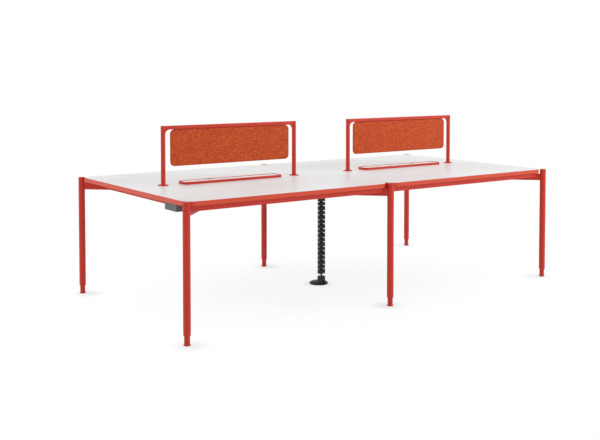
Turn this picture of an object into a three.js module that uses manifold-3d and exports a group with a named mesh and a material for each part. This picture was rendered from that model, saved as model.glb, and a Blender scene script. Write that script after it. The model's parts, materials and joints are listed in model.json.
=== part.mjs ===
// A double-sided bench of two square bays: six round legs, two worktops, two hanging screens,
// two cable ports with hinged lids, and a cable spine that stands on the floor.
// Millimetres. X runs along the bench, Y across it from front to back, Z up from the floor.

import * as THREE from "three";
import { mergeVertices } from "three/addons/utils/BufferGeometryUtils.js";
import Module from "manifold-3d";

const wasm = await Module();
wasm.setup();

// Overall sizes
const tableHeight = 740;
const bayPitch = 1380;
const depthPitch = 1380;

// Clearances
const seatGap = 0.1;
const jointClearance = 0.3;

// Legs, their plugs and their levelling feet
const legDiameter = 40;
const legWall = 2;
const legLift = 51;
const plugLength = 15;
const plugChamfer = 0.8;
const bushWall = 2.2;
const bushLength = 80;
const stemEngagement = 40;
const footDiameter = 39;
const footThickness = 3.5;
const footConeHeight = 8;

// Worktops
const boardThickness = 25;
const bandThickness = 2;
const bandGlueGap = 0.2;
const legGap = 8;
const worktopJoint = 1;

// Frame under the worktops
const railHeight = 30;
const railWidth = 20;
const railSetback = 22;
const crossBarSetback = 102;
const crossBarHeight = 42;
const armHeight = 51;
const armWidth = 18;
const armLength = 340;
const armReliefDepth = 6;
const armReliefLength = 38;
const armTaperLength = 90;
const armTipHeight = 24;

// Screens
const screenHeight = 350;
const uprightSpacing = 936;
const uprightDiameter = 27;
const uprightWall = 2;
const flangeDiameter = 60;
const flangeThickness = 5;
const flangeChamfer = 1.5;
const flangeSpigotLength = 25;
const screenRailHeight = 22;
const screenRailWidth = 20;
const screenRailRadius = 4;
const gussetRadius = 27;
const gussetThickness = 12;
const panelSideGap = 30;
const panelHeight = 218;
const panelThickness = 15;
const panelCornerRadius = 28;
const panelEdgeRadius = 4;

// Cable ports
const portLength = 700;
const portWidth = 95;
const portHeight = 16;
const portCornerRadius = 25;
const rimWall = 4;
const collarWall = 2;
const collarDepth = 20;
const lidRestReach = 3;
const lidRestWidth = 14;
const lidRestHeight = 4;
const lidThickness = 5;
const lidRecess = 3;
const lidClearance = 0.6;
const lidBackClearance = 1;
const pivotInset = 5;
const pivotDiameter = 4;
const pivotReach = 3;
const pivotRelief = 12;
const stubRoot = 14;
const notchOffset = 140;
const notchLength = 36;
const notchDepth = 22;
const notchRadius = 5;

// Cable trays
const trayLength = 800;
const trayWidth = 150;
const trayDepth = 80;
const trayFlange = 20;
const traySheet = 2;

// Cable spine
const linkPitch = 30;
const linkDiameter = 51;
const linkShoulder = 22;
const linkNeckDiameter = 14;
const firstNeckLength = 14;
const spineBaseDiameter = 132;
const spineBaseEdge = 6;
const spineBaseDome = 18;
const spineBaseShift = 35;
const collarHeight = 55;
const collarDiameter = 52;
const outletWidth = 16;
const outletHeight = 26;
const outletFloor = 3;
const headPlateLength = 120;
const headPlateWidth = 80;
const headPlateThickness = 4;
const headNeckLeast = 20;

// Connection box
const boxWidth = 52;
const boxLength = 135;
const boxHeight = 55;
const boxFromFront = 203;
const boxWall = 2.5;
const boxCornerRadius = 3;

// Facets
const legFacets = 20;
const smallFacets = 16;
const linkFacets = 12;
const cornerFacets = 3;
const domeSteps = 4;

// Places and sizes that follow from the values above
const legRadius = legDiameter / 2;
const tubeBoreRadius = legRadius - legWall;
const stemRadius = tubeBoreRadius - bushWall - jointClearance;
const boardCornerRadius = (legRadius + legGap) / (Math.SQRT2 - 1);
const underside = tableHeight - boardThickness;
const frameTop = underside - seatGap;
const bayLength = bayPitch - worktopJoint / 2;
const bayShift = worktopJoint / 4;
const jointLength = depthPitch - 2 * boardCornerRadius;
const uprightRadius = uprightDiameter / 2;
const uprightBore = uprightRadius - uprightWall;
const flangeTop = tableHeight + seatGap + flangeThickness;
const screenTop = tableHeight + screenHeight;
const screenRailBottom = screenTop - screenRailHeight;
const slotLength = portLength - 2 * rimWall;
const slotWidth = portWidth - 2 * rimWall;
const slotRadius = portCornerRadius - rimWall;

// Finishes
const redPaint = () => new THREE.MeshStandardMaterial({ color: 0xc5402f, roughness: 0.45, metalness: 0.1 });
const redEdge = () => new THREE.MeshStandardMaterial({ color: 0xd0503f, roughness: 0.5, metalness: 0 });
const whiteBoard = () => new THREE.MeshStandardMaterial({ color: 0xe8e7e5, roughness: 0.55, metalness: 0 });
const redPlug = () => new THREE.MeshStandardMaterial({ color: 0xb8382b, roughness: 0.5, metalness: 0 });
const orangeFelt = () => new THREE.MeshStandardMaterial({ color: 0xc2532b, roughness: 0.95, metalness: 0 });
const blackPlastic = () => new THREE.MeshStandardMaterial({ color: 0x262626, roughness: 0.5, metalness: 0 });
const greyPlastic = () => new THREE.MeshStandardMaterial({ color: 0x4c4d4f, roughness: 0.55, metalness: 0 });
const greySheet = () => new THREE.MeshStandardMaterial({ color: 0x5a5b5d, roughness: 0.5, metalness: 0.4 });

// Makes a closed geometry into a solid: corners merged, flat slivers dropped, faces turned outwards.
function solid(geometry) {
  geometry.deleteAttribute("normal");
  geometry.deleteAttribute("uv");
  const merged = mergeVertices(geometry);
  const corners = merged.getAttribute("position");
  const faces = merged.index.array;
  const at = (index) => new THREE.Vector3().fromBufferAttribute(corners, index);
  const kept = [];
  let volume = 0;
  for (let i = 0; i < faces.length; i += 3) {
    const [a, b, c] = [faces[i], faces[i + 1], faces[i + 2]];
    if (a !== b && b !== c && c !== a) {
      kept.push(a, b, c);
      volume += at(a).dot(at(b).cross(at(c)));
    }
  }
  const triVerts = new Uint32Array(volume < 0 ? kept.reverse() : kept);
  const vertProperties = new Float32Array(corners.array);
  return new wasm.Manifold(new wasm.Mesh({ numProp: 3, vertProperties, triVerts }));
}

// Adds a solid to a group as a named mesh with a finish of its own.
function addPart(group, name, finish, body, place = [0, 0, 0], turn = 0) {
  const { vertProperties, triVerts } = body.getMesh();
  const geometry = new THREE.BufferGeometry();
  geometry.setAttribute("position", new THREE.BufferAttribute(vertProperties, 3));
  geometry.setIndex(new THREE.BufferAttribute(triVerts, 1));
  geometry.computeVertexNormals();
  const mesh = new THREE.Mesh(geometry, finish());
  mesh.name = name;
  mesh.position.set(...place);
  mesh.rotation.z = turn;
  group.add(mesh);
}

// A turned solid about the Z axis, from radius and height pairs.
function turned(profile, facets) {
  const points = profile.map(([radius, height]) => new THREE.Vector2(radius, height));
  return solid(new THREE.LatheGeometry(points, facets).rotateX(Math.PI / 2));
}

// A disc or rod about the Z axis.
function rod(radius, low, high, facets) {
  return turned([[0, low], [radius, low], [radius, high], [0, high]], facets);
}

// A rectangle with round corners, centred on the origin.
function roundedRectangle(length, width, radius, path = new THREE.Shape()) {
  const [x, y] = [length / 2 - radius, width / 2 - radius];
  path.absarc(x, y, radius, 0, Math.PI / 2);
  path.absarc(-x, y, radius, Math.PI / 2, Math.PI);
  path.absarc(-x, -y, radius, Math.PI, 1.5 * Math.PI);
  path.absarc(x, -y, radius, 1.5 * Math.PI, 2 * Math.PI);
  return path;
}

// A flat outline given by its corners.
function outline(points) {
  return new THREE.Shape(points.map(([x, y]) => new THREE.Vector2(x, y)));
}

// An outline in the XY plane, raised from one height to another.
function prism(shape, low, high) {
  const settings = { depth: high - low, bevelEnabled: false, curveSegments: cornerFacets };
  return solid(new THREE.ExtrudeGeometry(shape, settings).translate(0, 0, low));
}

// An outline in the XZ plane with the given thickness along Y, centred on Y = 0.
function plate(shape, thickness) {
  const settings = { depth: thickness, bevelEnabled: false, curveSegments: cornerFacets };
  const geometry = new THREE.ExtrudeGeometry(shape, settings).translate(0, 0, -thickness / 2);
  return solid(geometry.rotateX(Math.PI / 2));
}

// A section in the YZ plane with the given length along X, centred on X = 0.
function bar(section, length) {
  const settings = { depth: length, bevelEnabled: false, curveSegments: cornerFacets };
  const geometry = new THREE.ExtrudeGeometry(section, settings).translate(0, 0, -length / 2);
  return solid(geometry.rotateX(Math.PI / 2).rotateZ(Math.PI / 2));
}

function box(x, y, z, place) {
  return solid(new THREE.BoxGeometry(x, y, z).translate(...place));
}

// Leg tube, open at both ends, with a guide bush at its lower end for the foot's stem.
function legTube() {
  const bushTop = legLift + bushLength;
  const bushRadius = tubeBoreRadius - bushWall;
  return turned([
    [bushRadius, legLift], [legRadius, legLift], [legRadius, tableHeight],
    [tubeBoreRadius, tableHeight], [tubeBoreRadius, bushTop], [bushRadius, bushTop], [bushRadius, legLift],
  ], legFacets);
}

// Plug in the top of a leg, level with the worktop.
function legPlug() {
  const bottom = tableHeight - plugLength;
  const radius = tubeBoreRadius - jointClearance;
  return turned([
    [0, bottom], [radius, bottom], [radius, tableHeight - plugChamfer],
    [radius - plugChamfer, tableHeight], [0, tableHeight],
  ], legFacets);
}

// Levelling foot: a flared disc on the floor and a stem that slides in the leg's bush.
function levellingFoot() {
  const stemTop = legLift + stemEngagement;
  return turned([
    [0, 0], [footDiameter / 2, 0], [footDiameter / 2, footThickness],
    [stemRadius, footThickness + footConeHeight], [stemRadius, stemTop], [0, stemTop],
  ], legFacets);
}

// Block along the straight part of a worktop's inner side, where it meets the other bay's worktop.
function jointStrip(depth, length, outward) {
  const place = [-outward * (bayLength - depth) / 2, 0, (underside + tableHeight) / 2];
  return box(depth, length, boardThickness, place);
}

// Worktop board with the slot that the cable port's collar drops into.
function board(outward) {
  const inset = bandThickness + bandGlueGap;
  const edge = boardCornerRadius - inset;
  const shape = roundedRectangle(bayLength - 2 * inset, depthPitch - 2 * inset, edge);
  const reach = 2 * (collarWall + jointClearance);
  const holeRadius = slotRadius + reach / 2;
  shape.holes.push(roundedRectangle(slotLength + reach, slotWidth + reach, holeRadius, new THREE.Path()));
  const joint = jointStrip(2 * inset, jointLength - 2 * bandGlueGap, outward);
  return prism(shape, underside, tableHeight).add(joint);
}

// Coloured band round a worktop's edge, left out where two worktops meet.
function edgeBand(outward) {
  const shape = roundedRectangle(bayLength, depthPitch, boardCornerRadius);
  const inner = boardCornerRadius - bandThickness;
  const [length, width] = [bayLength - 2 * bandThickness, depthPitch - 2 * bandThickness];
  shape.holes.push(roundedRectangle(length, width, inner, new THREE.Path()));
  const joint = jointStrip(2 * bandThickness, jointLength, outward);
  return prism(shape, underside, tableHeight).subtract(joint);
}

// Diagonal arm along +X from the leg's centre: relieved near the leg, tapered at its tip.
function diagonalArm() {
  const bottom = frameTop - armHeight;
  const reliefEnd = legRadius + armReliefLength;
  const profile = outline([
    [0, bottom], [armLength - armTaperLength, bottom], [armLength, frameTop - armTipHeight],
    [armLength, frameTop], [reliefEnd, frameTop], [reliefEnd - armReliefDepth, frameTop - armReliefDepth],
    [0, frameTop - armReliefDepth],
  ]);
  const legSpace = rod(legRadius + jointClearance, 0, tableHeight, legFacets);
  return plate(profile, armWidth).subtract(legSpace);
}

// Bar along a leg line of the given length, set in by a setback, its ends mitred against the arms.
function mitredBar(span, setback, height) {
  const armSide = (armWidth / 2 + jointClearance) * Math.SQRT2;
  const half = (offset) => span / 2 - offset - armSide;
  const far = setback + railWidth;
  const shape = outline([
    [-half(setback), setback], [half(setback), setback], [half(far), far], [-half(far), far],
  ]);
  return prism(shape, frameTop - height, frameTop);
}

// Middle bar between the middle legs, under the joint of the two worktops.
function middleBar() {
  const besideArms = railWidth / 2 + (armWidth / 2 + jointClearance) * Math.SQRT2;
  const start = Math.max(legRadius + jointClearance, besideArms);
  const length = depthPitch - 2 * start;
  return box(railWidth, length, railHeight, [0, 0, frameTop - railHeight / 2]);
}

// Screen upright: a tube closed at the top. A fillet gusset on its inner side (+X) carries the screen rail.
function screenUpright() {
  const seat = screenRailBottom - seatGap;
  const gusset = new THREE.Shape();
  gusset.moveTo(0, seat - gussetRadius);
  gusset.lineTo(uprightRadius, seat - gussetRadius);
  gusset.absarc(uprightRadius + gussetRadius, seat - gussetRadius, gussetRadius, Math.PI, Math.PI / 2, true);
  gusset.lineTo(0, seat);
  const tube = rod(uprightRadius, flangeTop + seatGap, screenTop, smallFacets);
  const bore = rod(uprightBore, flangeTop, screenTop - uprightWall, smallFacets);
  return tube.add(plate(gusset, gussetThickness)).subtract(bore);
}

// Flange under an upright, with a spigot that fills the tube's end.
function screenFlange() {
  const low = flangeTop - flangeThickness;
  const radius = flangeDiameter / 2;
  const spigot = uprightBore - jointClearance;
  return turned([
    [0, low], [radius, low], [radius, flangeTop - flangeChamfer], [radius - flangeChamfer, flangeTop],
    [spigot, flangeTop], [spigot, flangeTop + flangeSpigotLength], [0, flangeTop + flangeSpigotLength],
  ], smallFacets);
}

// Top rail of a screen, its ends hollowed to fit round the uprights.
function screenRail() {
  const section = roundedRectangle(screenRailWidth, screenRailHeight, screenRailRadius);
  const post = rod(uprightRadius + jointClearance, -screenRailHeight, screenRailHeight, smallFacets);
  return bar(section, uprightSpacing)
    .subtract(post.translate(-uprightSpacing / 2, 0, 0))
    .subtract(post.translate(uprightSpacing / 2, 0, 0));
}

// Felt-covered panel with soft edges, hanging under the rail.
function screenPanel() {
  const width = uprightSpacing - uprightDiameter - 2 * panelSideGap;
  const geometry = new THREE.ExtrudeGeometry(roundedRectangle(width, panelHeight, panelCornerRadius), {
    depth: panelThickness - 2 * panelEdgeRadius,
    bevelThickness: panelEdgeRadius,
    bevelSize: panelEdgeRadius,
    bevelOffset: -panelEdgeRadius,
    bevelSegments: 2,
    curveSegments: cornerFacets,
  });
  geometry.translate(0, 0, panelEdgeRadius - panelThickness / 2);
  return solid(geometry.rotateX(Math.PI / 2));
}

// Cable port heights, and the place of the lid's pivot
const portBottom = tableHeight + seatGap;
const portTop = portBottom + portHeight;
const lidTop = portTop - lidRecess;
const lidLength = slotLength - 2 * lidClearance;
const lidWidth = slotWidth - lidClearance - lidBackClearance;
const lidShift = (lidClearance - lidBackClearance) / 2;
const pivotY = lidShift + lidWidth / 2 - pivotInset;
const pivotZ = lidTop - lidThickness / 2;

// Half length of the port's inside at a given Y, where its corners curve inwards.
function insideHalf(y) {
  const intoCorner = Math.max(0, y - (portWidth / 2 - portCornerRadius));
  return portLength / 2 - portCornerRadius + Math.sqrt(Math.max(0, slotRadius ** 2 - intoCorner ** 2));
}

// Rod along X at the pivot line.
function pivotRod(radius, length) {
  const rodAlongX = new THREE.CylinderGeometry(radius, radius, length, smallFacets).rotateZ(Math.PI / 2);
  return solid(rodAlongX.translate(0, pivotY, pivotZ));
}

// Rim of a cable port, with a collar through the worktop, a rest under each end of the lid
// and sockets for the lid's pivots.
function portFrame() {
  const slot = roundedRectangle(slotLength, slotWidth, slotRadius);
  const collarRadius = slotRadius + collarWall;
  const collar = roundedRectangle(slotLength + 2 * collarWall, slotWidth + 2 * collarWall, collarRadius);
  const collarBottom = tableHeight - collarDepth;
  const restMiddle = lidTop - lidThickness - seatGap - lidRestHeight / 2;
  const socketLength = 2 * (insideHalf(pivotY) + pivotReach + jointClearance);
  let frame = prism(roundedRectangle(portLength, portWidth, portCornerRadius), portBottom, portTop)
    .add(prism(collar, collarBottom, portTop))
    .subtract(prism(slot, collarBottom - portHeight, portTop + portHeight))
    .subtract(pivotRod(pivotDiameter / 2 + jointClearance, socketLength));
  for (const side of [-1, 1]) {
    const place = [(side * slotLength) / 2, 0, restMiddle];
    frame = frame.add(box(2 * lidRestReach, lidRestWidth, lidRestHeight, place));
  }
  return frame;
}

// Lid with a cable notch in each long edge, turning on a stub at each end.
// Its back corners are relieved, so that they swing clear of the rim's curve.
function portLid(outward) {
  const shape = roundedRectangle(lidLength, lidWidth, slotRadius - lidClearance);
  const swing = Math.hypot(pivotInset, lidThickness / 2);
  const hingeHalf = insideHalf(pivotY + swing) - lidClearance;
  const stubs = pivotRod(pivotDiameter / 2, 2 * (insideHalf(pivotY) + pivotReach));
  const between = pivotRod(pivotDiameter, 2 * (hingeHalf - stubRoot));
  let lid = prism(shape, lidTop - lidThickness, lidTop).translate(0, lidShift, 0);
  for (const side of [-1, 1]) {
    const place = [side * (hingeHalf + portCornerRadius), pivotY - pivotRelief + portCornerRadius, pivotZ];
    lid = lid.subtract(box(2 * portCornerRadius, 2 * portCornerRadius, portHeight, place));
  }
  const notch = prism(roundedRectangle(notchLength, 2 * notchDepth, notchRadius), portBottom, portTop);
  for (const side of [-1, 1]) {
    lid = lid.subtract(notch.translate(side * outward * notchOffset, lidShift + (side * lidWidth) / 2, 0));
  }
  return lid.add(stubs.subtract(between));
}

// Folded sheet tray: two flanges under the worktop, two walls and a floor.
function cableTray() {
  const [half, wing] = [trayWidth / 2, trayWidth / 2 + trayFlange];
  const floor = frameTop - trayDepth;
  const section = outline([
    [-wing, frameTop], [-half + traySheet, frameTop], [-half + traySheet, floor + traySheet],
    [half - traySheet, floor + traySheet], [half - traySheet, frameTop], [wing, frameTop],
    [wing, frameTop - traySheet], [half, frameTop - traySheet], [half, floor],
    [-half, floor], [-half, frameTop - traySheet], [-wing, frameTop - traySheet],
  ]);
  return bar(section, trayLength);
}

// The spine fills the room between its base and its head with whole links.
const headPlateBottom = frameTop - railHeight - seatGap - headPlateThickness;
const linksBottom = collarHeight + seatGap + firstNeckLength;
const linkCount = Math.floor((headPlateBottom - headNeckLeast - linksBottom) / linkPitch);
const headBottom = linksBottom + linkCount * linkPitch + seatGap;

// Linked vertebrae on a first neck: each link swells from a narrow neck to a straight shoulder and back.
function spineLinks() {
  const [neck, wide] = [linkNeckDiameter / 2, linkDiameter / 2];
  const rise = (linkPitch - linkShoulder) / 2;
  const profile = [[0, linksBottom - firstNeckLength], [neck, linksBottom - firstNeckLength]];
  for (let i = 0; i < linkCount; i += 1) {
    const low = linksBottom + i * linkPitch;
    profile.push([neck, low], [wide, low + rise], [wide, low + rise + linkShoulder]);
  }
  const top = linksBottom + linkCount * linkPitch;
  profile.push([neck, top], [0, top]);
  return turned(profile, linkFacets);
}

// Weighted base: a domed disc behind the spine, a collar under it and a cable outlet at the front.
function spineBase() {
  const radius = spineBaseDiameter / 2;
  const profile = [[0, 0], [radius, 0]];
  for (let i = 0; i <= domeSteps; i += 1) {
    const angle = (i / domeSteps) * (Math.PI / 2);
    const across = i < domeSteps ? radius * Math.cos(angle) : 0;
    profile.push([across, spineBaseEdge + spineBaseDome * Math.sin(angle)]);
  }
  const dome = turned(profile, legFacets);
  const collar = rod(collarDiameter / 2, outletFloor, collarHeight, smallFacets);
  const outletLength = spineBaseDiameter;
  const outletMiddle = -linkNeckDiameter - outletLength / 2;
  const outletPlace = [0, outletMiddle, outletFloor + outletHeight / 2];
  const outlet = box(outletWidth, outletLength, outletHeight, outletPlace);
  return dome.translate(0, spineBaseShift, 0).add(collar).subtract(outlet);
}

// Head of the spine: a plate under the middle bar with a neck that meets the top link.
function spineHead() {
  const plateMiddle = headPlateBottom + headPlateThickness / 2;
  const neck = rod(linkDiameter / 2, headBottom, headPlateBottom + headPlateThickness / 2, smallFacets);
  return box(headPlateWidth, headPlateLength, headPlateThickness, [0, 0, plateMiddle]).add(neck);
}

// Connection box under the worktop's end: a housing open below, and its cover.
function boxHousing() {
  const outside = roundedRectangle(boxWidth, boxLength, boxCornerRadius);
  const inside = roundedRectangle(boxWidth - 2 * boxWall, boxLength - 2 * boxWall, boxCornerRadius / 2);
  const bottom = frameTop - boxHeight + boxWall + seatGap;
  return prism(outside, bottom, frameTop).subtract(prism(inside, bottom - boxWall, frameTop - boxWall));
}

function boxCover() {
  const bottom = frameTop - boxHeight;
  return prism(roundedRectangle(boxWidth, boxLength, boxCornerRadius), bottom, bottom + boxWall);
}

const bench = new THREE.Group();
const columns = [["left", -bayPitch], ["middle", 0], ["right", bayPitch]];
const rows = [["front", -depthPitch / 2, 1], ["back", depthPitch / 2, -1]];
const bays = [["left", -bayPitch / 2, -1], ["right", bayPitch / 2, 1]];

// Legs and the diagonal arms that each one carries
for (const [row, y, inward] of rows) {
  for (const [column, x] of columns) {
    addPart(bench, `leg_${row}_${column}`, redPaint, legTube(), [x, y, 0]);
    addPart(bench, `leg_plug_${row}_${column}`, redPlug, legPlug(), [x, y, 0]);
    addPart(bench, `foot_${row}_${column}`, redPaint, levellingFoot(), [x, y, 0]);
    for (const [side, bayX] of bays) {
      const towards = Math.sign(bayX - x);
      if (Math.abs(bayX - x) < bayPitch) {
        const name = column === "middle" ? `arm_${row}_middle_${side}` : `arm_${row}_${column}`;
        addPart(bench, name, redPaint, diagonalArm(), [x, y, 0], Math.atan2(inward, towards));
      }
    }
  }
}

// Each bay: worktop, long rails, cable port, tray and screen
for (const [side, x, outward] of bays) {
  const middle = x + outward * bayShift;
  addPart(bench, `worktop_${side}`, whiteBoard, board(outward), [middle, 0, 0]);
  addPart(bench, `edge_band_${side}`, redEdge, edgeBand(outward), [middle, 0, 0]);
  for (const [row, y, inward] of rows) {
    const turn = inward > 0 ? 0 : Math.PI;
    const rail = mitredBar(bayPitch, railSetback, railHeight);
    addPart(bench, `long_rail_${row}_${side}`, redPaint, rail, [x, y, 0], turn);
  }
  addPart(bench, `port_frame_${side}`, redPaint, portFrame(), [middle, 0, 0]);
  addPart(bench, `port_lid_${side}`, whiteBoard, portLid(outward), [middle, 0, 0]);
  addPart(bench, `cable_tray_${side}`, greySheet, cableTray(), [middle, 0, 0]);
  const screen = new THREE.Group();
  screen.position.x = x;
  for (const [end, facing] of [["left", 0], ["right", Math.PI]]) {
    const place = [facing === 0 ? -uprightSpacing / 2 : uprightSpacing / 2, 0, 0];
    addPart(screen, `screen_upright_${side}_${end}`, redPaint, screenUpright(), place, facing);
    addPart(screen, `screen_flange_${side}_${end}`, redPaint, screenFlange(), place);
  }
  addPart(screen, `screen_rail_${side}`, redPaint, screenRail(), [0, 0, screenTop - screenRailHeight / 2]);
  const panelMiddle = screenRailBottom - jointClearance - panelHeight / 2;
  addPart(screen, `screen_panel_${side}`, orangeFelt, screenPanel(), [0, 0, panelMiddle]);
  bench.add(screen);
}

// Cross bars at both ends and in the middle
const endBar = mitredBar(depthPitch, crossBarSetback, crossBarHeight);
addPart(bench, "cross_bar_left", redPaint, endBar, [-bayPitch, 0, 0], -Math.PI / 2);
addPart(bench, "cross_bar_right", redPaint, endBar, [bayPitch, 0, 0], Math.PI / 2);
addPart(bench, "cross_bar_middle", redPaint, middleBar());

// Cable spine at the centre of the bench
addPart(bench, "spine_links", blackPlastic, spineLinks());
addPart(bench, "spine_base", blackPlastic, spineBase());
addPart(bench, "spine_head", blackPlastic, spineHead());

// Connection box against the left cross bar
const boxX = crossBarSetback - jointClearance - boxWidth / 2 - bayPitch;
const boxY = boxFromFront + boxLength / 2 - depthPitch / 2;
addPart(bench, "box_housing", greyPlastic, boxHousing(), [boxX, boxY, 0]);
addPart(bench, "box_cover", greyPlastic, boxCover(), [boxX, boxY, 0]);

export default bench;
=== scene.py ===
# %% [markdown]
# # A double-sided bench, dressed for its portrait
#
# The bench has two square bays on six round legs. A felt screen hangs over the middle of each bay,
# above a cable port, and a black cable spine stands in the centre. Its true shapes and joints come
# packed as a frame of named solids in metres. This lesson dresses that frame: no solid is moved, each
# surface gets its finish, and finer meshes stand in where a solid is too coarse to catch the light.

import json
import math

import bmesh
import bpy
from mathutils import Matrix, Vector


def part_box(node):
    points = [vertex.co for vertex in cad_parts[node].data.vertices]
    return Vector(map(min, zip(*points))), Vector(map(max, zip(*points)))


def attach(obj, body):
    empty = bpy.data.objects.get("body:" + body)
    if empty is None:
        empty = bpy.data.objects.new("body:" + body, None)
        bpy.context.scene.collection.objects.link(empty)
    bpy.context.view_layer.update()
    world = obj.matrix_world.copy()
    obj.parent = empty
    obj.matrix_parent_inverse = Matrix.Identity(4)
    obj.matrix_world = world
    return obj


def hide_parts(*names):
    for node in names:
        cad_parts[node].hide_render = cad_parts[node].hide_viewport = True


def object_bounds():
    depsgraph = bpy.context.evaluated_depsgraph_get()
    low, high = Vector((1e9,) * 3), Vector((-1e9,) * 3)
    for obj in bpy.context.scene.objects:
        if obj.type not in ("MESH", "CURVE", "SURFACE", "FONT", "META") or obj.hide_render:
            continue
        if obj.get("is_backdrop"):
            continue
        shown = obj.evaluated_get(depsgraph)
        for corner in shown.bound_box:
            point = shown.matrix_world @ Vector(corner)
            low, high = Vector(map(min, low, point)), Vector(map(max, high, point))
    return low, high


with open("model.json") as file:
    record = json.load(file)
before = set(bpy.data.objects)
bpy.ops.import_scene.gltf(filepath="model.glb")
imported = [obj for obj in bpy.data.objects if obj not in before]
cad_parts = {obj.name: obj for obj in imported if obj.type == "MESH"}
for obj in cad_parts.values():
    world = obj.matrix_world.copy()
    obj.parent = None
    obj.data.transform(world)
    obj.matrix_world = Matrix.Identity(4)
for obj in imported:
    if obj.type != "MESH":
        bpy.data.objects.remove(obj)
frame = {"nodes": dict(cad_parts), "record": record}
cad_low, cad_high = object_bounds()

# %% [markdown]
# ## The camera
#
# Furniture is photographed from a little over sitting height with a long lens, so that the legs stay
# upright in the picture. A tilted camera would make them lean. Here the camera is nearly level, and the
# lens is shifted down to bring the bench into the frame, as on a view camera.

# %% Set up the camera
EYE = Vector((-3.6156, -4.8177, 1.4066))
HEADING = 35.544
TILT = 2.514
LENS = 55.016
SHIFT = -0.18

lens = bpy.data.cameras.new("camera")
lens.lens = LENS
lens.shift_y = SHIFT
camera = bpy.data.objects.new("camera", lens)
camera.location = EYE
camera.rotation_euler = (math.radians(90 - TILT), 0, math.radians(-HEADING))
scene = bpy.context.scene
scene.collection.objects.link(camera)
scene.camera = camera
scene.view_settings.view_transform = "Standard"
print("camera at", tuple(EYE), "with a lens of", LENS, "mm")

# %% [markdown]
# ## Sums on sockets
#
# A finish is a sum of small patterns, and a sum is easier to read as a line of Python than as a row of
# nodes. This class wraps one socket. Its operators add Math nodes, also when the number stands first,
# and its one method makes any other node: settings first, then the values or wires of its sockets.


# %% Wrap a socket
class Wire:
    """One output socket of a node tree, or the bare tree. Sums of wires and numbers add Math nodes."""

    def __init__(self, tree, socket=None):
        self.tree = tree
        self.socket = socket

    def node(self, kind, settings=None, sockets=None, output=0):
        made = self.tree.nodes.new(kind)
        for key, value in (settings or {}).items():
            setattr(made, key, value)
        feed(made, sockets or {})
        return Wire(self.tree, made.outputs[output])

    def math(self, operation, first, second):
        return self.node("ShaderNodeMath", {"operation": operation}, {0: first, 1: second})

    def __add__(self, other):
        return self.math("ADD", self, other)

    def __radd__(self, other):
        return self.math("ADD", other, self)

    def __sub__(self, other):
        return self.math("SUBTRACT", self, other)

    def __rsub__(self, other):
        return self.math("SUBTRACT", other, self)

    def __mul__(self, other):
        return self.math("MULTIPLY", self, other)

    def __rmul__(self, other):
        return self.math("MULTIPLY", other, self)


def feed(node, sockets):
    """Sets a node's sockets: a wire is linked, anything else becomes the socket's own value."""
    for key, value in sockets.items():
        if isinstance(value, Wire):
            value.tree.links.new(value.socket, node.inputs[key])
        else:
            node.inputs[key].default_value = value


print("sums on sockets ready")

# %% [markdown]
# ## The studio
#
# The bench stands on white paper under soft light. Stronger lamps could bleach the paper, but they would
# bleach the worktops with it. So the paper is lit as any surface is, and keeps the shadow, while most of
# what the camera sees of it glows plain white. It glows a little less in an oval under the bench, and less
# again in a small spot at each foot, set towards the middle of the bench where the foot's shadow falls.
# There the matt paper shows, darker than the glow even where no shadow reaches, so these places hold
# painted shade as well as the real shadow.
# The world around it is white at strength 1 straight from the camera or in a reflection, while as a
# light it is dimmer and leaves room for the lamps.

# %% Light paths
SKY_LEVEL = 0.75
PLAIN_WHITE = (1, 1, 1, 1)


def plainly_seen(tree):
    """1 on rays that show the background itself: from the camera, mirrored or passing through."""
    names = ("Is Camera Ray", "Is Glossy Ray", "Is Transmission Ray")
    straight, mirrored, passing = (Wire(tree).node("ShaderNodeLightPath", output=name) for name in names)
    return straight.math("MAXIMUM", straight.math("MAXIMUM", straight, mirrored), passing)


world = bpy.data.worlds.new("studio")
scene.world = world
world.use_nodes = True
unseen = 1 - plainly_seen(world.node_tree)
sky = world.node_tree.nodes["Background"]
feed(sky, {"Color": PLAIN_WHITE, "Strength": 1 - unseen * (1 - SKY_LEVEL)})
print("world: white to the eye,", SKY_LEVEL, "as a light")


# %% Find solids by name
def nodes_named(start):
    return sorted(node for node in frame["nodes"] if node.startswith(start))


def middle_of(node):
    low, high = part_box(node)
    return (low + high) / 2


on_the_floor = nodes_named("foot") + ["spine_base"]
print("on the floor:", ", ".join(on_the_floor))

# %% Where the paper glows less, painting shade under the bench and at the feet
OVAL_ALONG = 1.25
OVAL_ACROSS = 0.95
CONTACT_LEAN = Vector((0.71, -0.71, 0))
CONTACT_SHIFT = 0.04


def stretched(place, *factors):
    return place.node("ShaderNodeVectorMath", {"operation": "MULTIPLY"}, {0: place, 1: factors})


def from_middle(place):
    """The distance from the middle of the bench, with an oval's two radii as its units."""
    oval = stretched(place, 1 / OVAL_ALONG, 1 / OVAL_ACROSS, 0)
    return place.node("ShaderNodeVectorMath", {"operation": "LENGTH"}, {0: oval}, output=1)


def from_painted_shade_spot(place):
    """The distance from the nearest spot of painted shade: at each foot, set towards the middle of the
    bench.
    """
    nearest = None
    for node in on_the_floor:
        spot = middle_of(node)
        side = max(-1, min(1, spot.dot(CONTACT_LEAN)))
        # each spot of painted shade is shifted to the side where the lamps throw its foot's shadow
        spot = (spot - CONTACT_LEAN * CONTACT_SHIFT * side).to_2d().to_3d()
        away = place.node("ShaderNodeVectorMath", {"operation": "DISTANCE"}, {0: place, 1: spot}, output=1)
        nearest = away if nearest is None else away.math("MINIMUM", nearest, away)
    return nearest


print("shadow spots set", CONTACT_SHIFT, "m towards the middle at most")

# %% White paper
PAPER_WHITE = (0.87, 0.87, 0.87, 1)
PAPER_GLOW = 0.84
PAPER_NEAR = 0.3
PAPER_FAR = 1.15
CONTACT_GLOW = 0.62
CONTACT_NEAR = 0.02
CONTACT_FAR = 0.13
FINISHES = {}


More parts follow.
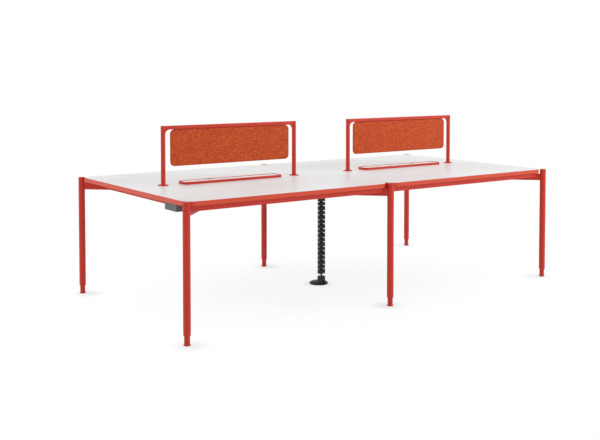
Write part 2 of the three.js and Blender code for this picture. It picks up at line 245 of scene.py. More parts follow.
def rising(value, near, far, start):
    """Rises softly from its start at near to 1 at far."""
    return value.node(
        "ShaderNodeMapRange",
        {"interpolation_type": "SMOOTHSTEP"},
        {"Value": value, "From Min": near, "From Max": far, "To Min": start, "To Max": 1},
    )


def begin(name):
    """Starts a finish and gives back the wire of its coordinates."""
    material = bpy.data.materials.new(name)
    material.use_nodes = True
    FINISHES[name] = material
    return Wire(material.node_tree).node("ShaderNodeTexCoord", output="Object")


place = begin("white_paper")
# painted shade: less glow in an oval under the bench and in a spot at each foot, where the darker matt paper
# shows
glow_with_painted_pool = rising(from_middle(place), PAPER_NEAR, PAPER_FAR, PAPER_GLOW)
close = rising(from_painted_shade_spot(place), CONTACT_NEAR, CONTACT_FAR, CONTACT_GLOW)
matt = place.node("ShaderNodeBsdfDiffuse", sockets={"Color": PAPER_WHITE})
shine = place.node("ShaderNodeEmission", sockets={"Color": PLAIN_WHITE, "Strength": 1})
glow = plainly_seen(place.tree) * (glow_with_painted_pool * close)
mixed = place.node("ShaderNodeMixShader", sockets={0: glow, 1: matt, 2: shine})
feed(place.tree.nodes["Material Output"], {"Surface": mixed})
print("paper glows from", round(PAPER_GLOW * CONTACT_GLOW, 2), "at a foot to 1 far away")

# %% Lay the paper
PAPER_SIZE = 40
PAPER_LEVEL = -0.0005
SQUARE = ((-1, -1), (1, -1), (1, 1), (-1, 1))

half = PAPER_SIZE / 2
sheet = bpy.data.meshes.new("paper")
sheet.from_pydata([(half * x, half * y, PAPER_LEVEL) for x, y in SQUARE], [], [(0, 1, 2, 3)])
sheet.materials.append(FINISHES["white_paper"])
paper = bpy.data.objects.new("paper", sheet)
scene.collection.objects.link(paper)
paper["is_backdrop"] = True
print("paper:", PAPER_SIZE, "m square")

# %% Softboxes
LAMPS = {
    "left": ((-5.8, 3.8, 2.8), 3.0, 105),
    "right": ((4.8, -4.8, 3.2), 3.0, 180),
    "top": ((0.6, 0.4, 4.6), 6.0, 30),
}
bench_middle = (cad_low + cad_high) / 2


def softbox(name, stand, side, watts):
    """A square area lamp that faces the middle of the bench and doesn't show in the picture."""
    lamp = bpy.data.lights.new(name, "AREA")
    lamp.size = side
    lamp.energy = watts
    holder = bpy.data.objects.new(name, lamp)
    holder.location = stand
    holder.rotation_euler = (bench_middle - Vector(stand)).to_track_quat("-Z", "Y").to_euler()
    holder.visible_camera = False
    scene.collection.objects.link(holder)


for name, settings in LAMPS.items():
    softbox(name, *settings)
print("lamps:", ", ".join(LAMPS))

# %% [markdown]
# ## Finishes
#
# A picture could be wrapped round each piece, but it would have to be unwrapped and would stretch. Here
# each finish starts from the object's own coordinates in metres, so a grain of two millimetres is two
# millimetres on every piece, and it stays with the piece when a joint moves. Numbers that are the same
# all over go straight on the shader's sockets; only what varies is wired.

# %% Patterns and colours
MM = 0.001


def colour(red, green, blue):
    """A screen colour in steps of 0 to 255, as the linear values that a shader takes."""
    levels = [step / 255 for step in (red, green, blue)]
    return (*(level / 12.92 if level < 0.04 else ((level + 0.055) / 1.055) ** 2.4 for level in levels), 1)


def grain(place, size, detail=2.0):
    """Soft noise around 0.5 whose lumps are about this many metres across."""
    return place.node("ShaderNodeTexNoise", sockets={"Vector": place, "Scale": 1 / size, "Detail": detail})


def steps_between(value, low, high):
    """0 below low, 1 above high and a straight run between."""
    return value.node("ShaderNodeMapRange", sockets={"Value": value, "From Min": low, "From Max": high})


def tint(mask, first, second):
    return mask.node("ShaderNodeMix", {"data_type": "RGBA"}, {0: mask, 6: first, 7: second}, output=2)


def relief(height, depth):
    return height.node("ShaderNodeBump", sockets={"Height": height, "Distance": depth})


def finish(place, **sockets):
    """Wires the shader of a finish; base_color stands for the socket Base Color."""
    named = {key.replace("_", " ").title().replace("Ior", "IOR"): value for key, value in sockets.items()}
    feed(place.tree.nodes["Principled BSDF"], named)


print("patterns ready")

# %% [markdown]
# ### Powder coats
#
# Legs, rails and screen frames wear a satin red powder coat. Powder melts into a skin with a faint
# orange peel, so the finish needs a small bump and a roughness that drifts a little, more than a colour
# pattern. The same recipe in white and in grey does for the lids and the trays. The feet get it in a
# deeper red, which is painted shade: the same coat, darkened for the dim light at the floor.

# %% Powder coats
PEEL = 2.4 * MM
PEEL_DEPTH = 0.03 * MM
PAINT_DRIFT = 120 * MM
PAINT_SPECK = 0.8 * MM
PAINT_GLOSS = 0.4
POWDER_COATS = {
    "red_paint": (colour(200, 46, 21), colour(190, 40, 17), 0.42),
    # the feet: the red paint a little darker, as painted shade for the dim light at the floor
    "red_foot": (colour(194, 44, 23), colour(180, 36, 17), 0.4),
    "white_lid": (colour(232, 231, 230), colour(226, 225, 224), 0.42),
    "grey_sheet": (colour(96, 98, 101), colour(88, 90, 92), 0.45),
}


def powder_coat(slot, light, deep, roughness):
    place = begin(slot)
    peel = grain(place, PEEL, 1.0)
    drift = grain(place, PAINT_DRIFT)
    speck = grain(place, PAINT_SPECK, 0.0)
    finish(
        place,
        base_color=tint(steps_between(drift * 0.7 + speck * 0.3, 0.3, 0.7), deep, light),
        roughness=roughness + drift * 0.1,
        specular_ior_level=PAINT_GLOSS,
        normal=relief(peel, PEEL_DEPTH),
    )


for slot, recipe in POWDER_COATS.items():
    powder_coat(slot, *recipe)
print("powder coats:", ", ".join(POWDER_COATS))

# %% [markdown]
# ### Worktop and edge band
#
# The worktop is a white laminate with a fine pearl grain. It is satin: seen low across the bench, a
# post throws a short blurred streak that fades in a few centimetres. A clear coat would throw a sharp
# one, so the board itself is fairly smooth and its gloss is low. The band round its edge is a solid
# plastic strip, milled flush, so it shows faint lines along its length.

# %% Laminate
PEARL = 1.1 * MM
PEARL_DEPTH = 0.02 * MM
PEARL_CLOUD = 260 * MM
BOARD_GLOSS = 0.12

place = begin("white_worktop")
pearl = grain(place, PEARL, 1.0)
cloud = grain(place, PEARL_CLOUD)
shade = steps_between(pearl * 0.5 + cloud * 0.5, 0.35, 0.65)
finish(
    place,
    base_color=tint(shade, colour(225, 226, 226), colour(232, 233, 233)),
    roughness=0.3 + pearl * 0.1,
    specular_ior_level=BOARD_GLOSS,
    normal=relief(pearl, PEARL_DEPTH),
)
print("laminate with a grain of", round(PEARL / MM, 1), "mm")

# %% Band
MILLING = 0.7 * MM
MILLING_DEPTH = 0.012 * MM
MILLING_RUN = 0.08
BAND_DRIFT = 90 * MM

place = begin("red_edge")
lines = grain(stretched(place, MILLING_RUN, MILLING_RUN, 1), MILLING, 1.0)
drift = grain(place, BAND_DRIFT)
finish(
    place,
    base_color=tint(drift, colour(203, 57, 26), colour(211, 63, 32)),
    roughness=0.36 + lines * 0.12,
    normal=relief(lines, MILLING_DEPTH),
)
print("band milled in lines of", round(MILLING / MM, 1), "mm")

# %% [markdown]
# ### Felt
#
# The screens are covered in a wool felt spun from several oranges and reds, so from a step away it
# looks mottled. Hair could be grown on it, but from here a fibre is far smaller than a pixel. So lumps
# of three sizes are added up and cut into shades: deep red in the hollows, orange on the tufts. The
# mixed fibres give the shades, and the deep red in the hollows of the relief is also painted shade. The
# finer lumps lift the surface too, and a little sheen stands for the loose fibres.

# %% Wool felt
TUFT = 4.2 * MM
BLOTCH = 16 * MM
FIBRE = 1.6 * MM
FIBRE_RUN = 0.3
FELT_DEPTH = 0.9 * MM

place = begin("orange_felt")
tuft = grain(place, TUFT, 3.0)
blotch = grain(place, BLOTCH)
fibre = grain(stretched(place, 1, 1, FIBRE_RUN), FIBRE)
cross = grain(stretched(place, FIBRE_RUN, 1, 1), FIBRE)
mottle = tuft * 0.56 + blotch * 0.12 + fibre * 0.16 + cross * 0.16
# deep red where the lumps are low: the fibres' own colour, with painted shade in the relief's hollows
deep = tint(steps_between(mottle, 0.38, 0.52), colour(146, 42, 8), colour(193, 70, 22))
wool = tint(steps_between(mottle, 0.52, 0.66), deep, colour(238, 118, 48))
finish(
    place,
    base_color=wool,
    roughness=0.92,
    sheen_weight=0.06,
    sheen_roughness=0.5,
    normal=relief(tuft * 0.4 + fibre * 0.3 + cross * 0.3, FELT_DEPTH),
)
print("felt mottled at", round(TUFT / MM, 1), "mm")

# %% [markdown]
# ### Moulded plastics
#
# The spine, the leg plugs and the connection box are moulded. A mould is etched so that the plastic
# looks dry: tiny pits, a soft highlight and almost no colour change. Pits this small are no work for the
# mesh, so a bump in the shader makes them.

# %% Etched plastic
PITS = 0.9 * MM
PITS_DEPTH = 0.025 * MM
FLOW = 35 * MM
MOULDINGS = {
    "black_plastic": (colour(24, 24, 25), colour(18, 18, 19), 0.42, 0.42),
    "grey_plastic": (colour(94, 96, 98), colour(87, 89, 91), 0.45, 0.5),
    "red_plug": (colour(186, 40, 28), colour(176, 36, 25), 0.4, 0.5),
}


def moulded(slot, light, deep, roughness, gloss):
    place = begin(slot)
    pits = grain(place, PITS, 1.0)
    flow = grain(place, FLOW)
    finish(
        place,
        base_color=tint(steps_between(flow, 0.3, 0.7), deep, light),
        roughness=roughness + pits * 0.14,
        specular_ior_level=gloss,
        normal=relief(pits, PITS_DEPTH),
    )


for slot, recipe in MOULDINGS.items():
    moulded(slot, *recipe)
print("plastics:", ", ".join(MOULDINGS))

# %% [markdown]
# ## Ways to make a mesh
#
# Four ways make nearly every piece. A profile with eased corners is turned about an axis, or carried
# round a rounded rectangle; a solid of the frame is copied and its edges are eased; and two shapes are
# joined or cut. Real edges are never knife sharp, and the thin highlight on an eased edge is what
# makes steel look like steel. A bevel could round them all, but a profile that is eased before it is
# turned gives even faces all the way round.

# %% Profiles with eased corners
EASE_STEPS = 4


def eased(corners):
    """A profile through corners of (across, up, easing), each rounded by its easing."""
    line = []
    for index, (across, up, easing) in enumerate(corners):
        here = Vector((across, up))
        if easing == 0:
            line.append(here)
            continue
        before = (Vector(corners[index - 1][:2]) - here).normalized()
        after = (Vector(corners[(index + 1) % len(corners)][:2]) - here).normalized()
        opening = before.angle(after) / 2
        middle = here + (before + after).normalized() * easing / math.sin(opening)
        start = here + before * easing / math.tan(opening) - middle
        end = here + after * easing / math.tan(opening) - middle
        for step in range(EASE_STEPS + 1):
            line.append(middle + start.lerp(end, step / EASE_STEPS).normalized() * easing)
    return line


print("an eased square has", len(eased([(0, 0, 1), (9, 0, 1), (9, 9, 1), (0, 9, 1)])), "points")

# %% Skin over rows of points
AXIS = 1e-7


def skinned(rows, ring):
    """Faces between rows of points. A ring joins the last row to the first; otherwise both ends close."""
    shape = bmesh.new()
    made = [[shape.verts.new(point) for point in row] for row in rows]
    pairs = list(zip(made, made[1:] + made[:1])) if ring else list(zip(made, made[1:]))
    for one, other in pairs:
        for index in range(len(one)):
            following = (index + 1) % len(one)
            shape.faces.new((one[index], one[following], other[following], other[index]))
    if not ring:
        shape.faces.new(made[0])
        shape.faces.new(made[-1])
    return shape


def turned(profile, facets, ring=False):
    """A profile of (radius, height) turned about Z. Unless it is a ring, it starts and ends on the axis."""
    angles = [2 * math.pi * facet / facets for facet in range(facets)]
    rows = []
    for radius, height in profile:
        reach = max(radius, AXIS)
        rows.append([(reach * math.cos(angle), reach * math.sin(angle), height) for angle in angles])
    return skinned(rows, ring)


def rod(radius, foot, top, foot_easing, top_easing, facets):
    """A round bar on the Z axis between two heights, its two rims eased."""
    profile = [(0, foot, 0), (radius, foot, foot_easing), (radius, top, top_easing), (0, top, 0)]
    return turned(eased(profile), facets)


print("turning ready")

# %% Carry a profile round a rectangle
LEAST_CORNER = 0.2 * MM


def rounded_loop(length, width, radius, height, steps):
    """Points round a rectangle with round corners, centred on the origin."""
    loop = []
    for quarter, (right, far) in enumerate(((1, 1), (-1, 1), (-1, -1), (1, -1))):
        for step in range(steps + 1):
            angle = (quarter + step / steps) * math.pi / 2
            x = right * (length / 2 - radius) + radius * math.cos(angle)
            y = far * (width / 2 - radius) + radius * math.sin(angle)
            loop.append((x, y, height))
    return loop


def carried(profile, length, width, radius, steps, ring=False):
    """A profile of (inset, height) carried round a rounded rectangle."""
    rows = []
    for inset, height in profile:
        corner = max(radius - inset, LEAST_CORNER)
        rows.append(rounded_loop(length - 2 * inset, width - 2 * inset, corner, height, steps))
    return skinned(rows, ring)


print("carrying ready")

# %% Plates and eased edges
SHARP = math.radians(35)


def oblong(width, height):
    """The corners of a rectangle, centred on the origin."""
    return [(x * width / 2, z * height / 2) for x, z in SQUARE]


def extruded(outline, thickness):
    """An outline of (x, z) with a thickness along Y, centred on Y = 0."""
    rows = [[(x, y, z) for x, z in outline] for y in (-thickness / 2, thickness / 2)]
    return skinned(rows, False)


def ease_edges(shape, easing, segments=3):
    """Rounds every sharp edge of a shape."""
    sharp = [edge for edge in shape.edges if len(edge.link_faces) == 2 and edge.calc_face_angle() > SHARP]
    bmesh.ops.bevel(
        shape, geom=sharp, offset=easing, segments=segments, profile=0.5, affect="EDGES", clamp_overlap=True
    )
    return shape


print("edges over", round(math.degrees(SHARP)), "degrees are eased")

# %% Copies, moves and booleans
FLAT = math.radians(1)
WELD = 1e-6


def copied(node):
    """The shape of a solid of the frame, its triangles joined into whole faces."""
    shape = bmesh.new()
    shape.from_mesh(frame["nodes"][node].data)
    bmesh.ops.remove_doubles(shape, verts=shape.verts, dist=WELD)
    bmesh.ops.dissolve_limit(shape, angle_limit=FLAT, verts=shape.verts, edges=shape.edges)
    return shape


def moved(shape, *place):
    bmesh.ops.translate(shape, vec=place, verts=shape.verts)
    return shape


def combined(first, second, operation):
    """Joins or cuts two closed shapes."""
    holders = []
    for shape in (first, second):
        bmesh.ops.recalc_face_normals(shape, faces=shape.faces)
        mesh = bpy.data.meshes.new("shape")
        shape.to_mesh(mesh)
        shape.free()
        holders.append(bpy.data.objects.new("shape", mesh))
        scene.collection.objects.link(holders[-1])
    cut = holders[0].modifiers.new("cut", "BOOLEAN")
    cut.operation = operation
    cut.object = holders[1]
    cut.solver = "EXACT"
    result = bmesh.new()
    result.from_object(holders[0], bpy.context.evaluated_depsgraph_get())
    for holder in holders:
        bpy.data.objects.remove(holder)
    return result


print("copies and booleans ready")

# %% Pieces
CREASE = math.radians(50)
BODY_OF = {node: body for body, nodes in frame["record"]["behaviour"]["bodies"].items() for node in nodes}


def make(name, shape, slot, *nodes):
    """Makes a shape into a piece that rides with the solids it stands for."""
    bmesh.ops.remove_doubles(shape, verts=shape.verts, dist=WELD)
    bmesh.ops.recalc_face_normals(shape, faces=shape.faces)
    mesh = bpy.data.meshes.new(name)
    shape.to_mesh(mesh)
    shape.free()
    mesh.materials.append(FINISHES[slot])
    mesh.shade_smooth()
    mesh.set_sharp_from_angle(angle=CREASE)
    piece = bpy.data.objects.new(name, mesh)
    scene.collection.objects.link(piece)
    piece.modifiers.new("even_shading", "WEIGHTED_NORMAL").keep_sharp = True
    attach(piece, BODY_OF[nodes[0]])
    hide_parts(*nodes)
    return piece


# %% Measure and place
def size_of(node):
    low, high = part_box(node)
    return high - low


def placed(shape, node):
    """Moves a shape from the Z axis to the middle of a solid, at the heights that it has."""
    middle = middle_of(node)
    return moved(shape, middle.x, middle.y, 0)


def in_mm(length):
    return round(length / MM)


print("bench:", [in_mm(side) for side in cad_high - cad_low], "mm")

# %% [markdown]
# ## Legs, plugs and feet
#
# A leg is a plain round tube with a plug pressed into its top. A levelling foot slides in its lower
# end: a stem that flares into a disc. The solids have twenty flats round them, which show in a long
# highlight, so the same profiles are turned again with many more, and with eased rims.

# %% Turn the legs
LEG_FACETS = 64
LEG_WALL = 2 * MM
LEG_LIP = 2.5 * MM
LEG_RIM_EASING = 0.3 * MM
BUSH_WALL = 2.2 * MM
BUSH_LENGTH = 80 * MM
BUSH_EASING = 0.4 * MM
legs = nodes_named("leg_front") + nodes_named("leg_back")

for node in legs:
    low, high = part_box(node)
    radius = (high.x - low.x) / 2
    bore = radius - LEG_WALL
    bush = bore - BUSH_WALL
    profile = eased([
        (bush, low.z, BUSH_EASING), (radius, low.z, LEG_LIP), (radius, high.z, LEG_RIM_EASING),
        (bore, high.z, 0), (bore, low.z + BUSH_LENGTH, 0), (bush, low.z + BUSH_LENGTH, 0),
    ])
    make("painted_" + node, placed(turned(profile, LEG_FACETS, True), node), "red_paint", node)
print("legs:", len(legs), "tubes of", in_mm(2 * radius), "mm")

# %% Turn the plugs
PLUG_EASING = 0.9 * MM
PLUG_FOOT_EASING = 0.5 * MM

for node in nodes_named("leg_plug"):
    low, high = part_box(node)
    plug = rod((high.x - low.x) / 2, low.z, high.z, PLUG_FOOT_EASING, PLUG_EASING, LEG_FACETS)
    make("moulded_" + node, placed(plug, node), "red_plug", node)
print("plugs:", len(nodes_named("leg_plug")))

# %% Turn the feet
FOOT_RIM = 3.5 * MM
FOOT_RIM_EASING = 0.6 * MM
FOOT_CONE = 8 * MM
FOOT_CONE_EASING = 4 * MM
FOOT_UNDERCUT = 2.5 * MM
SOLE_EASING = 0.4 * MM
STEM_RADIUS = 15.5 * MM
STEM_EASING = 1 * MM

for node in nodes_named("foot"):
    low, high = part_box(node)
    radius = (high.x - low.x) / 2
    rim = low.z + FOOT_RIM
    profile = eased([
        (0, low.z, 0), (radius - FOOT_UNDERCUT, low.z, SOLE_EASING), (radius, rim, FOOT_RIM_EASING),
        (STEM_RADIUS, rim + FOOT_CONE, FOOT_CONE_EASING), (STEM_RADIUS, high.z, STEM_EASING), (0, high.z, 0),
    ])
    # the feet take the darker red, painted shade for the dim light at the floor
    make("painted_" + node, placed(turned(profile, LEG_FACETS), node), "red_foot", node)
print("feet:", len(nodes_named("foot")))

# %% [markdown]
# ## Frame under the worktops
#
# Arms, rails and bars are cut from flat steel and box section. They could be drawn again, but their
# shapes in the frame are right, apart from edges like knives. So each is copied, its flat triangles are
# joined into faces, and its edges are rounded as a drawn section and a layer of paint would leave them.

# %% Ease the steel
STEEL_EASING = 1.6 * MM
steel = nodes_named("arm") + nodes_named("long_rail") + nodes_named("cross_bar")

for node in steel:
    make("painted_" + node, ease_edges(copied(node), STEEL_EASING), "red_paint", node)
print("steel pieces:", len(steel))

# %% [markdown]
# ## Edge bands
#
# The red line round the worktop is a band glued to the board's edge. Its corners follow the legs at a
# small gap, and its long arrises are broken to a small round. A closed profile carried round the
# rounded rectangle gives both. Where the two boards meet, the band is cut away. The white board inside
# it keeps its own solid.

# %% Carry the bands
LEG_GAP = 8 * MM
BAND = 2 * MM
BAND_EASING = 0.9 * MM
CORNER_STEPS = 24
CUTTER = 4
leg_radius = size_of("leg_front_left").x / 2
corner_radius = (leg_radius + LEG_GAP) / (math.sqrt(2) - 1)

for node in nodes_named("edge_band"):
    low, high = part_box(node)
    length, width, height = high - low
    profile = eased([
        (0, low.z, BAND_EASING), (0, high.z, BAND_EASING), (BAND, high.z, 0), (BAND, low.z, 0),
    ])
    band = carried(profile, length, width, corner_radius, CORNER_STEPS, True)
    middle = middle_of(node)
    joint = extruded(oblong(CUTTER * BAND, CUTTER * height), width - 2 * corner_radius)
    moved(joint, -math.copysign(length / 2, middle.x), 0, middle.z)
    make("glued_" + node, placed(combined(band, joint, "DIFFERENCE"), node), "red_edge", node)
print("band corners of", in_mm(corner_radius), "mm")

# %% [markdown]
# ## Screens
#
# Each screen is a small goal post: two round uprights on flanges, a top rail between them, and a web
# with a round inner corner under each end of the rail. Uprights and webs are one welding on the real
# frame, so they are joined by a boolean. The rail is hollowed at its ends to fit round the uprights.

# %% Uprights
SEAT_GAP = 0.1 * MM
POST_FACETS = 48
POST_EASING = 1.2 * MM
POST_FOOT_EASING = 0.4 * MM
WEB = 12 * MM
WEB_EASING = 2 * MM
WEB_STEPS = 14


def upright(node):
    """A post with its web, which reaches towards the middle of the screen under the rail."""
    low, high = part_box(node)
    radius = (high.y - low.y) / 2
    web_radius = high.x - low.x - 2 * radius
    inwards = 1 if node.endswith("left") else -1
    foot = low.x + radius if inwards > 0 else high.x - radius
    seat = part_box("screen_rail_left")[0].z - SEAT_GAP
    post = rod(radius, low.z, high.z, POST_FOOT_EASING, POST_EASING, POST_FACETS)
    outline = [(0, seat), (0, seat - web_radius)]
    for step in range(WEB_STEPS + 1):
        angle = math.pi - step / WEB_STEPS * math.pi / 2
        across = radius + web_radius * (1 + math.cos(angle))
        outline.append((inwards * across, seat + web_radius * (math.sin(angle) - 1)))
    web = ease_edges(extruded(outline, WEB), WEB_EASING)
    return moved(combined(post, web, "UNION"), foot, 0, 0)


for node in nodes_named("screen_upright"):
    make("painted_" + node, upright(node), "red_paint", node)
print("uprights:", len(nodes_named("screen_upright")))

# %% Flanges
FLANGE_EASING = 1.6 * MM
FLANGE_FOOT_EASING = 0.3 * MM
flange_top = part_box("screen_upright_left_left")[0].z - SEAT_GAP

for node in nodes_named("screen_flange"):
    low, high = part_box(node)
    disc = rod((high.x - low.x) / 2, low.z, flange_top, FLANGE_FOOT_EASING, FLANGE_EASING, POST_FACETS)
    make("painted_" + node, placed(disc, node), "red_paint", node)
print("flanges:", len(nodes_named("screen_flange")))

# %% Top rails
RAIL_CORNER = 4 * MM
RAIL_CORNER_STEPS = 6
RAIL_FIT = 0.3 * MM
ALONG_X = Matrix(((0, 0, 1, 0), (1, 0, 0, 0), (0, 1, 0, 0), (0, 0, 0, 1)))
post_radius = size_of("screen_upright_left_left").y / 2

for node in nodes_named("screen_rail"):
    side = node.rsplit("_", 1)[1]
    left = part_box("screen_upright_" + side + "_left")[0].x + post_radius
    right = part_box("screen_upright_" + side + "_right")[1].x - post_radius
    size = size_of(node)
    rail = carried([(0, left), (0, right)], size.y, size.z, RAIL_CORNER, RAIL_CORNER_STEPS)
    bmesh.ops.transform(rail, matrix=ALONG_X, verts=rail.verts)
    for x in (left, right):
        post = rod(post_radius + RAIL_FIT, -size.z, size.z, 0, 0, POST_FACETS)
        rail = combined(rail, moved(post, x, 0, 0), "DIFFERENCE")
    make("painted_" + node, moved(rail, 0, 0, middle_of(node).z), "red_paint", node)
print("top rails of", in_mm(size.x), "mm")

# %% [markdown]
# ## Felt panels
#
# A panel is a thin padded board wrapped in felt. Cloth under pressure would puff up like a cushion, and
# the real panel is stiff, so it is modelled: the faces crown by a millimetre, the felt rolls round the
# edge, and a shallow line runs just inside it where the cover is drawn tight. Rows at growing insets
# carry all of that round the outline. The outer end is tucked in a little from its solid, to leave the
# gap that shows beside the upright.

# %% Wrap the panels
PANEL_CORNER = 28 * MM
PANEL_CORNER_STEPS = 12
PANEL_ROLL = 4.5 * MM
PANEL_TUCK = 3 * MM
PANEL_CROWN = 1 * MM
SEAM_INSET = 8 * MM
SEAM_DEPTH = 0.7 * MM
SEAM_WIDTH = 2.4 * MM
FACE_INSETS = [18 * MM, 28 * MM, 42 * MM, 60 * MM, 82 * MM, 102 * MM]
ROLL_STEPS = 6
FACING_FRONT = Matrix.Rotation(math.pi / 2, 4, "X")


def panel_profile(height, thickness):
    """Half of the panel from its middle plane out to the face, as (inset, offset)."""
    rim = thickness / 2 - PANEL_CROWN

    def face(inset):
        return rim + PANEL_CROWN * (1 - (1 - 2 * inset / height) ** 2)

    turn = [math.pi / 2 * step / ROLL_STEPS for step in range(1, ROLL_STEPS + 1)]
    rows = [(PANEL_ROLL * (1 - math.cos(angle)), rim * math.sin(angle)) for angle in turn]
    rows.append((SEAM_INSET - SEAM_WIDTH, face(SEAM_INSET - SEAM_WIDTH)))
    rows.append((SEAM_INSET, face(SEAM_INSET) - SEAM_DEPTH))
    rows.append((SEAM_INSET + SEAM_WIDTH, face(SEAM_INSET + SEAM_WIDTH)))
    return rows + [(inset, face(inset)) for inset in FACE_INSETS]


for node in nodes_named("screen_panel"):
    size = size_of(node)
    front = panel_profile(size.z, size.y)
    back = [(inset, -offset) for inset, offset in reversed(front)]
    rows = back + [(0, 0)] + front
    panel = carried(rows, size.x - PANEL_TUCK, size.z, PANEL_CORNER, PANEL_CORNER_STEPS)
    bmesh.ops.transform(panel, matrix=FACING_FRONT, verts=panel.verts)
    middle = middle_of(node)
    middle.x -= math.copysign(PANEL_TUCK / 2, middle.x)
    piece = make("felt_" + node, moved(panel, *middle), "orange_felt", node)
print("felt panels of", in_mm(size.x - PANEL_TUCK), "by", in_mm(size.z), "mm")

# %% [markdown]
# ## Cable ports and trays
#
# A port is a red rim with a white lid that tips up on two stubs. The rim's section is the same all the
# way round, a wall with a thinner collar down through the worktop, so it is carried like a band, and a
# rest for the lid is joined to each end. Lid and folded tray hold notches and folds in their solids, so
# they are copied and eased: finely on the lid, and barely at all on the thin sheet.

# %% Carry the rims
PORT_CORNER = 25 * MM
RIM_WALL = 4 * MM
RIM_EASING = 1.2 * MM
COLLAR_WALL = 2 * MM
COLLAR_EASING = 0.4 * MM
REST_REACH = 3 * MM
REST_WIDTH = 14 * MM
REST_HEIGHT = 4 * MM
rim_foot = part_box("worktop_left")[1].z + SEAT_GAP

for node in nodes_named("port_frame"):
    low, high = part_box(node)
    length, width = (high - low).xy
    collar = RIM_WALL - COLLAR_WALL
    profile = eased([
        (0, rim_foot, COLLAR_EASING), (0, high.z, RIM_EASING), (RIM_WALL, high.z, RIM_EASING),
        (RIM_WALL, low.z, COLLAR_EASING), (collar, low.z, COLLAR_EASING), (collar, rim_foot, 0),
    ])
    rim = carried(profile, length, width, PORT_CORNER, CORNER_STEPS, True)
    rest_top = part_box(node.replace("frame", "lid"))[0].z - SEAT_GAP
    for end in (-1, 1):
        rest = extruded(oblong(2 * REST_REACH, REST_HEIGHT), REST_WIDTH)
        moved(rest, end * (length / 2 - RIM_WALL), 0, rest_top - REST_HEIGHT / 2)
        rim = combined(rim, rest, "UNION")
    make("painted_" + node, placed(rim, node), "red_paint", node)
print("ports:", len(nodes_named("port_frame")), "of", in_mm(length), "by", in_mm(width), "mm")

# %% Ease lids and trays
LID_EASING = 0.7 * MM
SHEET_EASING = 0.5 * MM
SHEET_SEGMENTS = 2

for node in nodes_named("port_lid"):
    make("painted_" + node, ease_edges(copied(node), LID_EASING), "white_lid", node)
for node in nodes_named("cable_tray"):
    make("folded_" + node, ease_edges(copied(node), SHEET_EASING, SHEET_SEGMENTS), "grey_sheet", node)
print("lids:", len(nodes_named("port_lid")), "and trays:", len(nodes_named("cable_tray")))

# %% [markdown]
# ## Cable spine
#
# The spine is a string of moulded links on ball joints. Each link is two half rings that hold the
# cables, tied by webs to a hub. The frame has one turned solid for all of them. An array could repeat
# one link, but tall and short ones take turns, so a function builds a link of any height from half
# rings, hub and webs, and a loop strings them up from a thin first neck.

# %% Half rings
RING_WALL = 2.8 * MM
RING_EASING = 1.4 * MM
RING_INNER_EASING = 0.6 * MM
SLIT = math.radians(17)
LINK_FACETS = 24


def half_ring(radius, height, facing):
    """Half of a link's ring, open front and back, its rims drawn in."""
    inner = radius - RING_WALL
    profile = eased([
        (inner, -height / 2, RING_INNER_EASING), (radius, -height / 2, RING_EASING),
        (radius, height / 2, RING_EASING), (inner, height / 2, RING_INNER_EASING),
    ])
    rows = []
    for step in range(LINK_FACETS + 1):
        angle = facing - math.pi / 2 + SLIT / 2 + (math.pi - SLIT) * step / LINK_FACETS
        rows.append([(across * math.cos(angle), across * math.sin(angle), up) for across, up in profile])
    return skinned(rows, False)


print("half rings open by", round(math.degrees(SLIT)), "degrees front and back")

# %% One link
LINK_GAP = 7 * MM
LINK_PLAY = 0.2 * MM
JOINT_RADIUS = 12 * MM
JOINT_HEIGHT = 4 * MM
JOINT_EASING = 0.5 * MM
HUB_RADIUS = 17 * MM
HUB_START = 6 * MM
HUB_EASING = 1 * MM
HUB_SHIFT = (-1.8 * MM, 1.3 * MM, 0)
LINK_WEB = 3 * MM
LINK_WEB_INSET = 2 * MM


def link(radius, pitch):
    """A link between z = 0 and its pitch: hub and joints, a web to each side and two half rings."""
    middle = pitch / 2
    height = pitch - LINK_GAP
    lower = [
        (0, LINK_PLAY, 0), (JOINT_RADIUS, LINK_PLAY, JOINT_EASING),
        (JOINT_RADIUS, JOINT_HEIGHT, HUB_EASING), (HUB_RADIUS, HUB_START, HUB_EASING),
    ]
    upper = [(across, pitch - up, easing) for across, up, easing in reversed(lower)]
    hub = turned(eased(lower + upper), LINK_FACETS)
    web = extruded(oblong(2 * radius - RING_WALL, height - 2 * LINK_WEB_INSET), LINK_WEB)
    shape = combined(moved(hub, *HUB_SHIFT), moved(web, 0, 0, middle), "UNION")
    for facing in (0, math.pi):
        shape = combined(shape, moved(half_ring(radius, height, facing), 0, 0, middle), "UNION")
    return shape


print("a link's rings stand", in_mm(LINK_GAP), "mm apart")

# %% Share out the links
LINK_PITCH = 30 * MM
LINK_SWAY = 3 * MM
FIRST_NECK = 14 * MM
NECK_RADIUS = 4.5 * MM
NECK_EASING = 0.5 * MM

low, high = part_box("spine_links")
link_radius = (high.x - low.x) / 2
link_count = round((high.z - low.z - FIRST_NECK) / LINK_PITCH)
pitches = [LINK_PITCH + (LINK_SWAY if number % 2 == 0 else -LINK_SWAY) for number in range(link_count - 1)]
pitches.append(high.z - low.z - FIRST_NECK - sum(pitches))
print("links:", [in_mm(pitch) for pitch in pitches], "mm")

# %% String the links
start = low.z + FIRST_NECK
shapes = [rod(NECK_RADIUS, low.z, start - LINK_PLAY, NECK_EASING, NECK_EASING, LINK_FACETS)]
for pitch in pitches:
    shapes.append(moved(link(link_radius, pitch), 0, 0, start))
    start += pitch
spine = bmesh.new()
for shape in shapes:
    mesh = bpy.data.meshes.new("link")
    shape.to_mesh(mesh)
    shape.free()
    spine.from_mesh(mesh)
    bpy.data.meshes.remove(mesh)
make("linked_spine", spine, "black_plastic", "spine_links")
print("spine:", link_count, "links")

# %% [markdown]
# ## Spine base and head
#
# The base is a weighted disc with a low dome, a little smaller than its solid and further forward. The
# socket that takes the first link stands near its front rim and flares into it, and a slot in front
# lets the cables out. Two turned shapes are joined and a block cuts the slot. The head that fixes the
# spine to the middle bar is copied and eased.

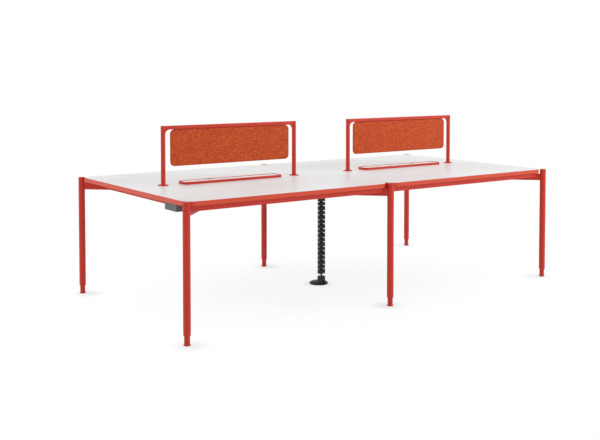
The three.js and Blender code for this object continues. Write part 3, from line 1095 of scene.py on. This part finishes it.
# %% Disc and socket
BASE_EDGE = 6 * MM
BASE_DOME = 16 * MM
BASE_TRIM = 4.5 * MM
BASE_FORWARD = 6 * MM
BASE_CHAMFER = 1 * MM
BASE_FLOOR = 3 * MM
DOME_STEPS = 12
SOCKET_RADIUS = 26 * MM
SOCKET_FLARE = 7 * MM
SOCKET_EASING = 1 * MM

low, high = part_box("spine_base")
base_radius = (high.x - low.x) / 2 - BASE_TRIM
dome = [(0, low.z), (base_radius - BASE_CHAMFER, low.z), (base_radius, low.z + BASE_CHAMFER)]
for step in range(DOME_STEPS + 1):
    angle = math.pi / 2 * step / DOME_STEPS
    dome.append((base_radius * math.cos(angle), BASE_EDGE + BASE_DOME * math.sin(angle)))
disc = moved(turned(dome, LEG_FACETS), 0, high.y - BASE_TRIM - base_radius - BASE_FORWARD, 0)
socket = turned(eased([
    (0, BASE_FLOOR, 0), (SOCKET_RADIUS + SOCKET_FLARE, BASE_FLOOR, 0),
    (SOCKET_RADIUS, BASE_EDGE + BASE_DOME, SOCKET_FLARE), (SOCKET_RADIUS, high.z, SOCKET_EASING),
    (0, high.z, 0),
]), LEG_FACETS)
base = combined(disc, socket, "UNION")
print("base of", in_mm(2 * base_radius), "mm")

# %% Cable outlet and head
OUTLET_WIDTH = 16 * MM
OUTLET_HEIGHT = 26 * MM
OUTLET_START = 14 * MM
HEAD_EASING = 1 * MM

reach = 2 * base_radius
block = [(x * OUTLET_WIDTH / 2, BASE_FLOOR + (z + 1) * OUTLET_HEIGHT / 2) for x, z in SQUARE]
outlet = moved(extruded(block, reach), 0, -OUTLET_START - reach / 2, 0)
make("weighted_spine_base", combined(base, outlet, "DIFFERENCE"), "black_plastic", "spine_base")
make("moulded_spine_head", ease_edges(copied("spine_head"), HEAD_EASING), "black_plastic", "spine_head")
print("outlet of", in_mm(OUTLET_WIDTH), "by", in_mm(OUTLET_HEIGHT), "mm")

# %% [markdown]
# ## Connection box
#
# A small grey box hangs behind the left end of the frame, where the mains lead would come in. Housing
# and cover are separate mouldings with a hairline between them, so each is copied by itself and keeps
# its own eased edges.

# %% Ease the box
BOX_EASING = 1.2 * MM

for node in ("box_housing", "box_cover"):
    make("moulded_" + node, ease_edges(copied(node), BOX_EASING), "grey_plastic", node)
print("box of", [in_mm(side) for side in size_of("box_housing")], "mm")

# %% [markdown]
# ## What the frame still shows
#
# Only the white boards keep their own solids: they are flat and their edges are covered. A solid of the
# frame is never changed, but its material slots may be filled.

# %% Dress the boards and measure
for node in nodes_named("worktop"):
    materials = frame["nodes"][node].data.materials
    materials.clear()
    materials.append(FINISHES["white_worktop"])

low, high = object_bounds()
